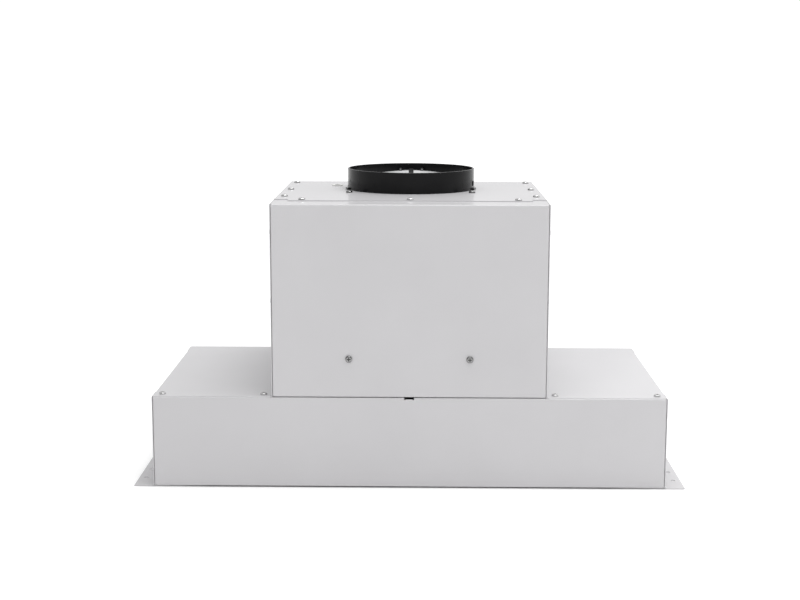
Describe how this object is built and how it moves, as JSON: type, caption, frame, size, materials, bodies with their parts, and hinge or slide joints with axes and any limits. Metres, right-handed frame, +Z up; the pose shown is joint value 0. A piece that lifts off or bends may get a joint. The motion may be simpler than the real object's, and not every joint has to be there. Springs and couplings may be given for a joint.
{
  "type": "cabinet insert range hood",
  "caption": "Range hood insert: a wide flat canopy with a blower housing on top, round duct collar with damper flaps, grease filters, push buttons and lamps below.",
  "frame": {"origin": "middle of the object's base, on the plane of the undersides of its two side feet", "axes": "+Z up, -Y out of the front face, +X to the right as seen from the front, along the 600 mm width"},
  "size_m": [0.6, 0.2732, 0.3338],
  "materials": {
    "white_paint": "glossy powder coat",
    "black_plastic": "fine moulded grain",
    "flap_aluminium": "bright rolled sheet",
    "zinc_sheet": "galvanised, satin",
    "steel": "bright",
    "black_rubber": "matt",
    "wheel_aluminium": "satin",
    "cast_hub": "cast",
    "motor_steel": "zinc plated",
    "can_aluminium": "drawn",
    "box_plastic": "moulded",
    "board_green": "solder mask",
    "terminal_plastic": "moulded",
    "filter_aluminium": "anodised",
    "mesh_aluminium": "expanded sheet",
    "grey_rubber": "matt",
    "latch_plastic": "moulded",
    "lamp_chrome": "polished",
    "lamp_glass": "frosted",
    "switch_plastic": "moulded",
    "button_plastic": "moulded",
    "screw_chrome": "nickel plated"
  },
  "bodies": {
    "hood": {"blower_bracket": "zinc_sheet", "blower_screws": "screw_chrome", "bottom_fascia": "white_paint", "cable_grommet": "grey_rubber", "canopy_back_panel": "white_paint", "canopy_front_panel": "white_paint", "canopy_side_left": "white_paint", "canopy_side_right": "white_paint", "canopy_wing_left": "white_paint", "canopy_wing_right": "white_paint", "capacitor": "can_aluminium", "circuit_board": "board_green", "duct_collar": "black_plastic", "electronics_box": "box_plastic", "electronics_lid": "box_plastic", "housing_back_panel": "white_paint", "housing_front_panel": "white_paint", "housing_side_left": "white_paint", "housing_side_right": "white_paint", "housing_top_plate": "white_paint", "inlet_ring_left": "zinc_sheet", "inlet_ring_right": "zinc_sheet", "lamp_bezel_left": "lamp_chrome", "lamp_bezel_right": "lamp_chrome", "lamp_can_left": "can_aluminium", "lamp_can_right": "can_aluminium", "lamp_lens_left": "lamp_glass", "lamp_lens_right": "lamp_glass", "motor_body": "motor_steel", "motor_bracket": "zinc_sheet", "motor_mounts": "black_rubber", "panel_rivets": "steel", "scroll_side_left": "zinc_sheet", "scroll_side_right": "zinc_sheet", "scroll_wrap": "zinc_sheet", "switch_bezel": "switch_plastic", "switch_body": "switch_plastic", "terminal_block": "terminal_plastic", "top_plate_screws": "screw_chrome", "wing_screws": "screw_chrome"},
    "blower_wheel": {"impeller": "wheel_aluminium", "impeller_hub": "cast_hub", "motor_shaft": "steel"},
    "damper_left": {"damper_flap_left": "flap_aluminium", "flap_hinge_left": "latch_plastic"},
    "damper_right": {"damper_flap_right": "flap_aluminium", "flap_hinge_right": "latch_plastic"},
    "filter_left": {"filter_frame_left": "filter_aluminium", "filter_mesh_left": "mesh_aluminium", "latch_spring_left": "steel"},
    "filter_right": {"filter_frame_right": "filter_aluminium", "filter_mesh_right": "mesh_aluminium", "latch_spring_right": "steel"},
    "latch_left": {"filter_latch_left": "latch_plastic"},
    "latch_right": {"filter_latch_right": "latch_plastic"},
    "button_off_key": {"button_off": "button_plastic"},
    "button_low_key": {"button_low": "button_plastic"},
    "button_medium_key": {"button_medium": "button_plastic"},
    "button_high_key": {"button_high": "button_plastic"},
    "button_light_key": {"button_light": "button_plastic"}
  },
  "joints": [
    {"name": "wheel_spin", "type": "hinge", "parent": "hood", "child": "blower_wheel", "pos_m": [0, 0, 0.21], "axis": [1, 0, 0], "continuous": true},
    {"name": "damper_left_swing", "type": "hinge", "parent": "hood", "child": "damper_left", "pos_m": [-0.013, 0.045, 0.3268], "axis": [0, 1, 0], "range_deg": [0, 82]},
    {"name": "damper_right_swing", "type": "hinge", "parent": "hood", "child": "damper_right", "pos_m": [0.013, 0.045, 0.3268], "axis": [0, -1, 0], "range_deg": [0, 82]},
    {"name": "filter_left_swing", "type": "hinge", "parent": "hood", "child": "filter_left", "pos_m": [-0.135, 0.118, 0.0088], "axis": [1, 0, 0], "range_deg": [0, 80]},
    {"name": "filter_right_swing", "type": "hinge", "parent": "hood", "child": "filter_right", "pos_m": [0.135, 0.118, 0.0088], "axis": [1, 0, 0], "range_deg": [0, 80]},
    {"name": "latch_left_slide", "type": "slide", "parent": "filter_left", "child": "latch_left", "axis": [0, 1, 0], "range_m": [0, 0.004], "stiffness_N_per_m": 200, "springref_m": -0.003, "deforming": ["latch_spring_left"]},
    {"name": "latch_right_slide", "type": "slide", "parent": "filter_right", "child": "latch_right", "axis": [0, 1, 0], "range_m": [0, 0.004], "stiffness_N_per_m": 200, "springref_m": -0.003, "deforming": ["latch_spring_right"]},
    {"name": "button_off_press", "type": "slide", "parent": "hood", "child": "button_off_key", "axis": [0, 0, 1], "range_m": [0, 0.002], "stiffness_N_per_m": 300, "springref_m": -0.002},
    {"name": "button_low_press", "type": "slide", "parent": "hood", "child": "button_low_key", "axis": [0, 0, 1], "range_m": [0, 0.002], "stiffness_N_per_m": 300, "springref_m": -0.002},
    {"name": "button_medium_press", "type": "slide", "parent": "hood", "child": "button_medium_key", "axis": [0, 0, 1], "range_m": [0, 0.002], "stiffness_N_per_m": 300, "springref_m": -0.002},
    {"name": "button_high_press", "type": "slide", "parent": "hood", "child": "button_high_key", "axis": [0, 0, 1], "range_m": [0, 0.002], "stiffness_N_per_m": 300, "springref_m": -0.002},
    {"name": "button_light_press", "type": "slide", "parent": "hood", "child": "button_light_key", "axis": [0, 0, 1], "range_m": [0, 0.002], "stiffness_N_per_m": 300, "springref_m": -0.002}
  ]
}
